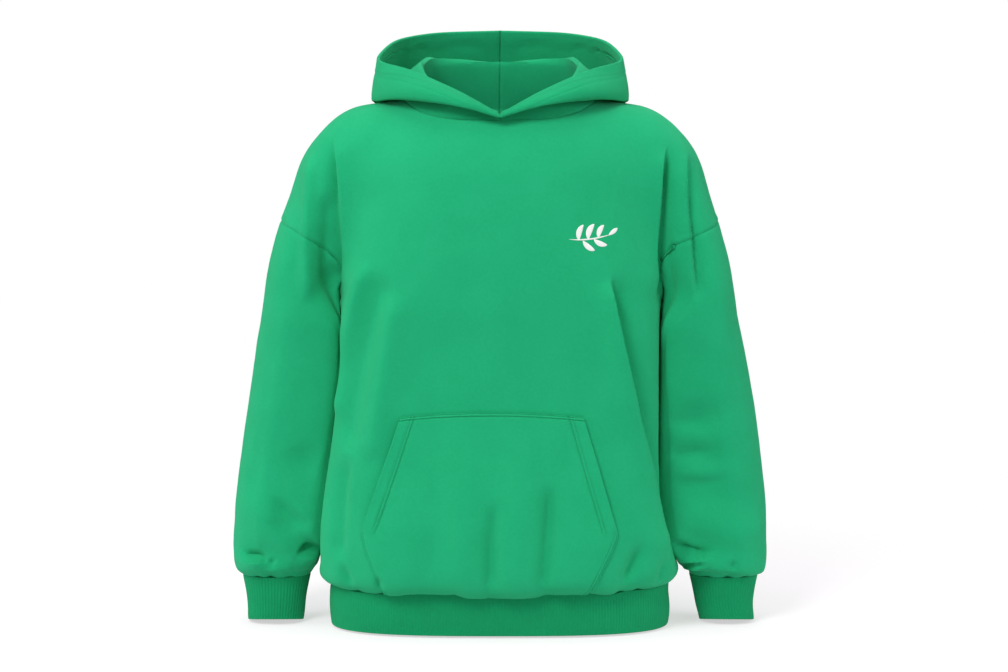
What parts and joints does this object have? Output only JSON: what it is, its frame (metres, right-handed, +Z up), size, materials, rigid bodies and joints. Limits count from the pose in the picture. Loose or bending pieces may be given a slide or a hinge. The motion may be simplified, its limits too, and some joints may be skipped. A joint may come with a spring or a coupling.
{
  "type": "pullover hoodie",
  "caption": "Loose pullover hoodie in heavy brushed fleece with a lined hood, kangaroo pocket, dropped shoulders and ribbed cuffs and hem, hollow as when worn.",
  "frame": {"origin": "the middle of the neck opening, level with the tops of the shoulders, where the wearer's shoulders carry it", "axes": "+Z up, the chest faces -Y, and the wearer's right arm is on the -X side"},
  "size_m": [0.6919, 0.347, 0.7725],
  "materials": {
    "fleece": "green heavy jersey, smooth outside, brushed inside",
    "hood_fleece": "the same green jersey, used double",
    "rib": "green one by one rib knit, folded double",
    "thread": "green sewing thread, twin-needle topstitching",
    "print": "white raised print, soft and matt"
  },
  "bodies": {
    "root": {"front": "fleece", "back": "fleece", "sleeve_left": "fleece", "sleeve_right": "fleece", "cuff_left": "rib", "cuff_right": "rib", "hem_band": "rib", "pocket": "fleece", "hood_left": "hood_fleece", "hood_right": "hood_fleece"}
  },
  "joints": []
}
